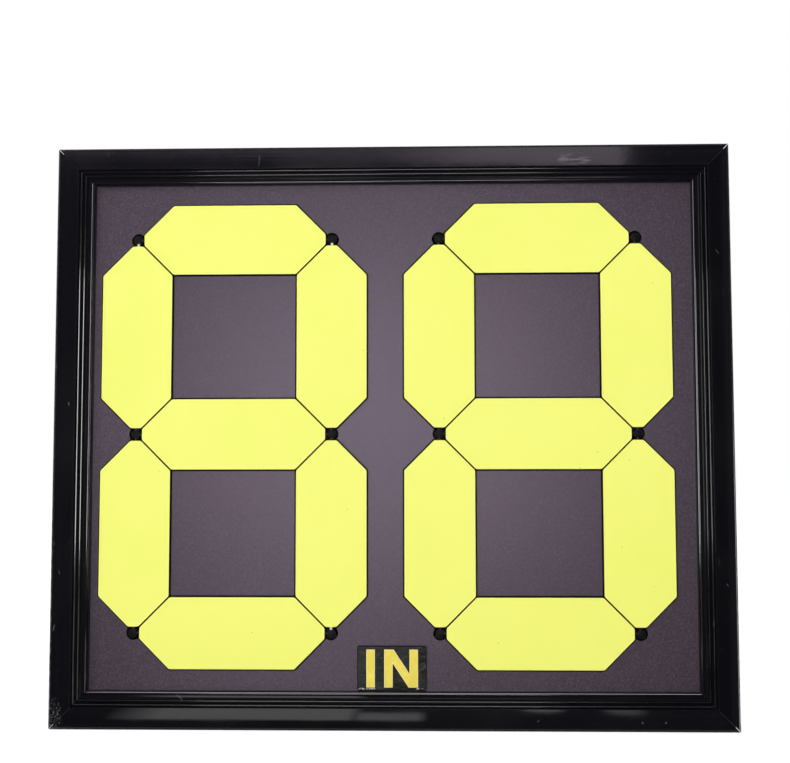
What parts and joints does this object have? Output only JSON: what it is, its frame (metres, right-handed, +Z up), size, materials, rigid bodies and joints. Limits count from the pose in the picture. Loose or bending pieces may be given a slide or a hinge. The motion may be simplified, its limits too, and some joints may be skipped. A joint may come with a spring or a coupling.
{
  "type": "substitution board",
  "caption": "Hand-held framed board that shows a two-digit number with flip segments, yellow on one face and black on the other.",
  "frame": {"origin": "middle of the board's bottom edge, halfway through its depth", "axes": "+X to the viewer's right along the width, +Y to the back, +Z up"},
  "size_m": [0.42, 0.035, 0.36],
  "materials": {
    "frame": "glossy black moulding with fine scuffs",
    "key": "plain moulded",
    "panel": "matt purple-grey with a fine speckle",
    "segment": "bright yellow film on the front, black on the back and edges",
    "carrier": "plain moulded",
    "cap": "smooth black",
    "label": "dark film with a soft gloss",
    "cover": "matt black sheet",
    "screw": "zinc-plated"
  },
  "bodies": {
    "board": {"frame_rail_bottom": "frame", "frame_rail_right": "frame", "frame_rail_top": "frame", "frame_rail_left": "frame", "corner_key_bottom_left": "key", "corner_key_bottom_right": "key", "corner_key_top_right": "key", "corner_key_top_left": "key", "front_panel": "panel", "back_cover": "cover", "label_plate": "label", "left_digit_carrier": "carrier", "left_counter_upper": "panel", "left_counter_lower": "panel", "left_cover_screw_upper": "screw", "left_cover_screw_lower": "screw", "left_pivot_cap_top_left": "cap", "left_pivot_cap_top_right": "cap", "left_pivot_cap_middle_left": "cap", "left_pivot_cap_middle_right": "cap", "left_pivot_cap_bottom_left": "cap", "left_pivot_cap_bottom_right": "cap", "right_digit_carrier": "carrier", "right_counter_upper": "panel", "right_counter_lower": "panel", "right_cover_screw_upper": "screw", "right_cover_screw_lower": "screw", "right_pivot_cap_top_left": "cap", "right_pivot_cap_top_right": "cap", "right_pivot_cap_middle_left": "cap", "right_pivot_cap_middle_right": "cap", "right_pivot_cap_bottom_left": "cap", "right_pivot_cap_bottom_right": "cap"},
    "left_top": {"left_segment_top": "segment"},
    "left_upper_left": {"left_segment_upper_left": "segment"},
    "left_upper_right": {"left_segment_upper_right": "segment"},
    "left_middle": {"left_segment_middle": "segment"},
    "left_lower_left": {"left_segment_lower_left": "segment"},
    "left_lower_right": {"left_segment_lower_right": "segment"},
    "left_bottom": {"left_segment_bottom": "segment"},
    "right_top": {"right_segment_top": "segment"},
    "right_upper_left": {"right_segment_upper_left": "segment"},
    "right_upper_right": {"right_segment_upper_right": "segment"},
    "right_middle": {"right_segment_middle": "segment"},
    "right_lower_left": {"right_segment_lower_left": "segment"},
    "right_lower_right": {"right_segment_lower_right": "segment"},
    "right_bottom": {"right_segment_bottom": "segment"}
  },
  "joints": [
    {"name": "left_top_flip", "type": "hinge", "parent": "board", "child": "left_top", "pos_m": [-0.09875, -0.0095, 0.3025], "axis": [1, 0, 0], "range_deg": [0, 180]},
    {"name": "left_upper_left_flip", "type": "hinge", "parent": "board", "child": "left_upper_left", "pos_m": [-0.16, -0.0095, 0.24125], "axis": [0, 0, 1], "range_deg": [0, 180]},
    {"name": "left_upper_right_flip", "type": "hinge", "parent": "board", "child": "left_upper_right", "pos_m": [-0.0375, -0.0095, 0.24125], "axis": [0, 0, 1], "range_deg": [0, 180]},
    {"name": "left_middle_flip", "type": "hinge", "parent": "board", "child": "left_middle", "pos_m": [-0.09875, -0.0095, 0.18], "axis": [1, 0, 0], "range_deg": [0, 180]},
    {"name": "left_lower_left_flip", "type": "hinge", "parent": "board", "child": "left_lower_left", "pos_m": [-0.16, -0.0095, 0.11875], "axis": [0, 0, 1], "range_deg": [0, 180]},
    {"name": "left_lower_right_flip", "type": "hinge", "parent": "board", "child": "left_lower_right", "pos_m": [-0.0375, -0.0095, 0.11875], "axis": [0, 0, 1], "range_deg": [0, 180]},
    {"name": "left_bottom_flip", "type": "hinge", "parent": "board", "child": "left_bottom", "pos_m": [-0.09875, -0.0095, 0.0575], "axis": [1, 0, 0], "range_deg": [0, 180]},
    {"name": "right_top_flip", "type": "hinge", "parent": "board", "child": "right_top", "pos_m": [0.09095, -0.0095, 0.3025], "axis": [1, 0, 0], "range_deg": [0, 180]},
    {"name": "right_upper_left_flip", "type": "hinge", "parent": "board", "child": "right_upper_left", "pos_m": [0.0297, -0.0095, 0.24125], "axis": [0, 0, 1], "range_deg": [0, 180]},
    {"name": "right_upper_right_flip", "type": "hinge", "parent": "board", "child": "right_upper_right", "pos_m": [0.1522, -0.0095, 0.24125], "axis": [0, 0, 1], "range_deg": [0, 180]},
    {"name": "right_middle_flip", "type": "hinge", "parent": "board", "child": "right_middle", "pos_m": [0.09095, -0.0095, 0.18], "axis": [1, 0, 0], "range_deg": [0, 180]},
    {"name": "right_lower_left_flip", "type": "hinge", "parent": "board", "child": "right_lower_left", "pos_m": [0.0297, -0.0095, 0.11875], "axis": [0, 0, 1], "range_deg": [0, 180]},
    {"name": "right_lower_right_flip", "type": "hinge", "parent": "board", "child": "right_lower_right", "pos_m": [0.1522, -0.0095, 0.11875], "axis": [0, 0, 1], "range_deg": [0, 180]},
    {"name": "right_bottom_flip", "type": "hinge", "parent": "board", "child": "right_bottom", "pos_m": [0.09095, -0.0095, 0.0575], "axis": [1, 0, 0], "range_deg": [0, 180]}
  ]
}
